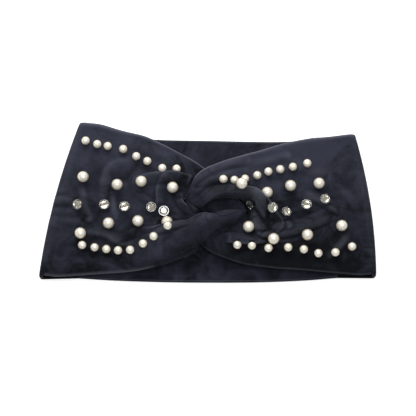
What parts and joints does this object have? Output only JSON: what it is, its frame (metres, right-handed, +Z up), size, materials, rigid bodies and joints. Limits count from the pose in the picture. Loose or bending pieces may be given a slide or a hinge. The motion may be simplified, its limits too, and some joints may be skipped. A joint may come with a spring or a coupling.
{
  "type": "twist headband",
  "caption": "Wide dark velvet headband with a twisted knot at the front and pearls and rhinestones on both sides.",
  "frame": {"origin": "on the underside of the back panel, near the middle of the band, at the level it lies on", "axes": "+X to the wearer's left as the band lies face up, +Y to the band's upper edge, +Z up, out of the front"},
  "size_m": [0.2341, 0.1138, 0.0304],
  "materials": {
    "velvet": "pile",
    "lining": "matt",
    "thread": "matt",
    "pearl": "pearlescent",
    "stone": "clear",
    "setting": "polished"
  },
  "bodies": {
    "root": {"left_face": "velvet", "left_lining": "lining", "right_face": "velvet", "right_lining": "lining", "back_face": "velvet", "back_lining": "lining", "left_seam_stitches": "thread", "right_seam_stitches": "thread", "knot_stitches": "thread", "left_small_pearls_upper": "pearl", "left_small_pearls_lower": "pearl", "right_small_pearls_upper": "pearl", "right_small_pearls_lower": "pearl", "left_small_pins": "setting", "right_small_pins": "setting", "left_large_pins": "setting", "right_large_pins": "setting", "left_large_pearl_1": "pearl", "left_large_pearl_2": "pearl", "left_large_pearl_3": "pearl", "left_large_pearl_4": "pearl", "left_large_pearl_5": "pearl", "left_large_pearl_6": "pearl", "left_large_pearl_7": "pearl", "left_large_pearl_8": "pearl", "right_large_pearl_1": "pearl", "right_large_pearl_2": "pearl", "right_large_pearl_3": "pearl", "right_large_pearl_4": "pearl", "right_large_pearl_5": "pearl", "right_large_pearl_6": "pearl", "right_large_pearl_7": "pearl", "right_large_pearl_8": "pearl", "left_stone_1": "stone", "left_stone_2": "stone", "left_stone_3": "stone", "left_stone_4": "stone", "left_stone_5": "stone", "right_stone_1": "stone", "right_stone_2": "stone", "right_stone_3": "stone", "right_stone_4": "stone", "right_stone_5": "stone", "left_cup_1": "setting", "left_cup_2": "setting", "left_cup_3": "setting", "left_cup_4": "setting", "left_cup_5": "setting", "right_cup_1": "setting", "right_cup_2": "setting", "right_cup_3": "setting", "right_cup_4": "setting", "right_cup_5": "setting"}
  },
  "joints": []
}
